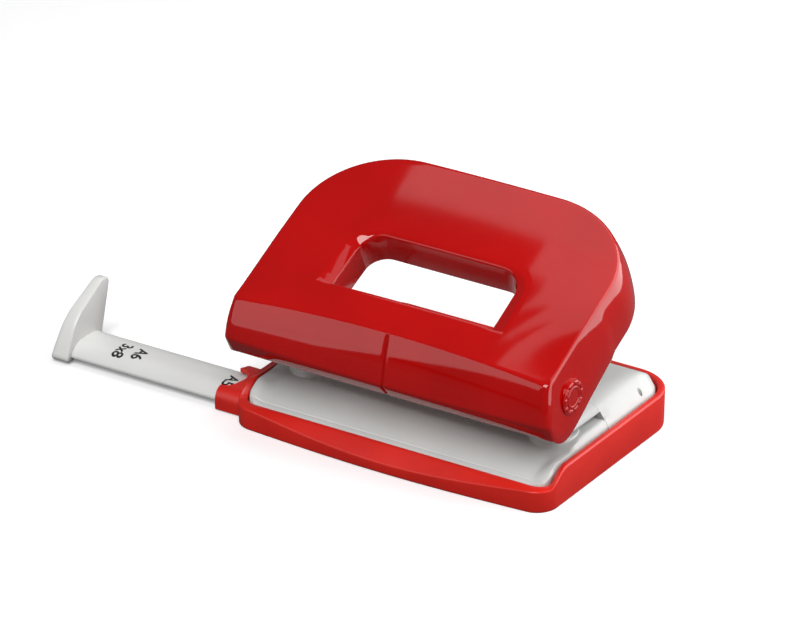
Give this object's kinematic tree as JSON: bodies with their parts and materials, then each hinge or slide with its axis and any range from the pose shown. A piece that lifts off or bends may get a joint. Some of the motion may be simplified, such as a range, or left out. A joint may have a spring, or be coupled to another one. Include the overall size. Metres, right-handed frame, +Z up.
{
  "type": "hole punch",
  "caption": "Desk hole punch with a hinged press lever, a snap-off chip tray and a sliding paper stop rail.",
  "frame": {"origin": "middle of the flat face the punch stands on, under the middle of the two punched holes' span", "axes": "+X along the long side towards the right end, away from the paper stop; -Y faces the paper; +Z up"},
  "size_m": [0.1715, 0.0777, 0.067],
  "materials": {
    "red_tray": "semi-gloss moulded",
    "red_lever": "gloss moulded",
    "dark_red_frame": "satin moulded",
    "grey_cover": "fine satin moulded",
    "grey_rail": "satin moulded",
    "bright_steel": "ground",
    "zinc_steel": "zinc plated sheet",
    "spring_steel": "drawn wire",
    "black_steel": "blackened"
  },
  "bodies": {
    "tray": {"chip_tray": "red_tray"},
    "rail": {"stop_rail": "grey_rail"},
    "punch_body": {"base_cover": "grey_cover", "die_left": "bright_steel", "die_right": "bright_steel", "guide_bush_left": "bright_steel", "guide_bush_right": "bright_steel", "return_spring_left": "spring_steel", "return_spring_right": "spring_steel", "axle_bracket_left": "zinc_steel", "axle_bracket_right": "zinc_steel", "bracket_screw_left_1": "black_steel", "bracket_screw_left_2": "black_steel", "bracket_screw_right_1": "black_steel", "bracket_screw_right_2": "black_steel", "lever_axle": "bright_steel", "axle_clip_left": "black_steel", "axle_clip_right": "black_steel"},
    "lever": {"lever_shell": "red_lever", "press_frame": "dark_red_frame"},
    "pin_left": {"punch_pin_left": "bright_steel", "pin_clip_left": "black_steel"},
    "pin_right": {"punch_pin_right": "bright_steel", "pin_clip_right": "black_steel"}
  },
  "joints": [
    {"name": "tray_release", "type": "slide", "parent": "tray", "child": "punch_body", "axis": [0, 0, 1], "range_m": [0, 0.025]},
    {"name": "stop_rail_slide", "type": "slide", "parent": "tray", "child": "rail", "axis": [-1, 0, 0], "range_m": [-0.044, 0.037]},
    {"name": "lever_press", "type": "hinge", "parent": "punch_body", "child": "lever", "pos_m": [0, -0.0277, 0.0337], "axis": [-1, 0, 0], "range_deg": [0, 22], "stiffness_Nm_per_rad": 0.2, "springref_deg": -20.05},
    {"name": "pin_left_slide", "type": "slide", "parent": "punch_body", "child": "pin_left", "axis": [0, 0, -1], "range_m": [0, 0.0066], "deforming": ["return_spring_left"]},
    {"name": "pin_right_slide", "type": "slide", "parent": "punch_body", "child": "pin_right", "axis": [0, 0, -1], "range_m": [0, 0.0066], "deforming": ["return_spring_right"]}
  ],
  "couplings": [
    {"joint": "pin_left_slide", "follows": "lever_press", "m_per_rad": 0.0168},
    {"joint": "pin_right_slide", "follows": "lever_press", "m_per_rad": 0.0168}
  ]
}
